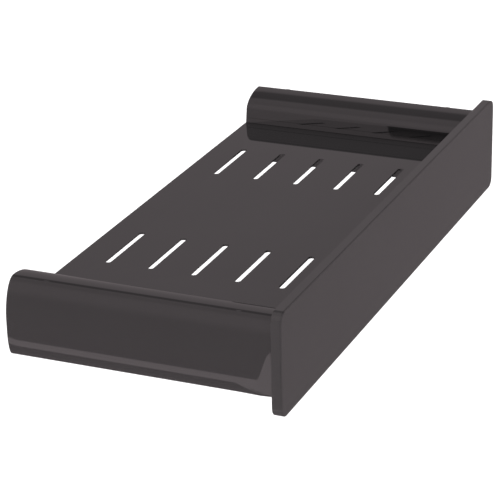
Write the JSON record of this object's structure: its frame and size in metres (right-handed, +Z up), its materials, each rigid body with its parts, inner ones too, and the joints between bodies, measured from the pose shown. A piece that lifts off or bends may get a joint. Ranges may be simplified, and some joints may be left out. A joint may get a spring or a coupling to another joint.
{
  "type": "under desk drawer",
  "caption": "Wide shallow drawer for the underside of a desk: a slotted open-backed tray with a full-width front, sliding between two bullnose housings.",
  "frame": {"origin": "centre of the desk screw pattern, on the plane of the desk's underside, at the crests of the two housings", "axes": "+Z up through the desk screws, +X along the drawer front towards its right end as seen from the user, -Y towards the user: the drawer opens towards -Y"},
  "size_m": [0.687, 0.3037, 0.112],
  "materials": {
    "gloss_shell": "gloss, dark warm charcoal",
    "coated_steel": "gloss powder coat, dark warm charcoal",
    "zinc_steel": "zinc plated",
    "fastener_steel": "zinc plated",
    "cage_steel": "yellow zinc plated",
    "ball_steel": "polished",
    "rubber": "matte"
  },
  "bodies": {
    "desk_mount": {"left_housing": "gloss_shell", "right_housing": "gloss_shell", "left_rear_cap": "gloss_shell", "right_rear_cap": "gloss_shell", "rear_cap_screws": "fastener_steel", "left_rail": "zinc_steel", "right_rail": "zinc_steel", "rail_screws": "fastener_steel", "rear_bumpers": "rubber"},
    "drawer": {"front_shell": "gloss_shell", "front_back_plate": "gloss_shell", "deck": "coated_steel", "left_hanger": "coated_steel", "right_hanger": "coated_steel", "left_front_bracket": "coated_steel", "middle_front_bracket": "coated_steel", "right_front_bracket": "coated_steel", "stud_nuts": "fastener_steel", "front_screws": "fastener_steel", "left_runner": "zinc_steel", "right_runner": "zinc_steel", "runner_screws": "fastener_steel"},
    "left_ball_cage": {"left_cage": "cage_steel", "left_balls": "ball_steel"},
    "right_ball_cage": {"right_cage": "cage_steel", "right_balls": "ball_steel"}
  },
  "joints": [
    {"name": "drawer_slide", "type": "slide", "parent": "desk_mount", "child": "drawer", "axis": [0, -1, 0], "range_m": [0, 0.19]},
    {"name": "left_cage_roll", "type": "slide", "parent": "desk_mount", "child": "left_ball_cage", "axis": [0, -1, 0], "range_m": [0, 0.095]},
    {"name": "right_cage_roll", "type": "slide", "parent": "desk_mount", "child": "right_ball_cage", "axis": [0, -1, 0], "range_m": [0, 0.095]}
  ],
  "couplings": [
    {"joint": "left_cage_roll", "follows": "drawer_slide", "ratio": 0.5},
    {"joint": "right_cage_roll", "follows": "drawer_slide", "ratio": 0.5}
  ]
}
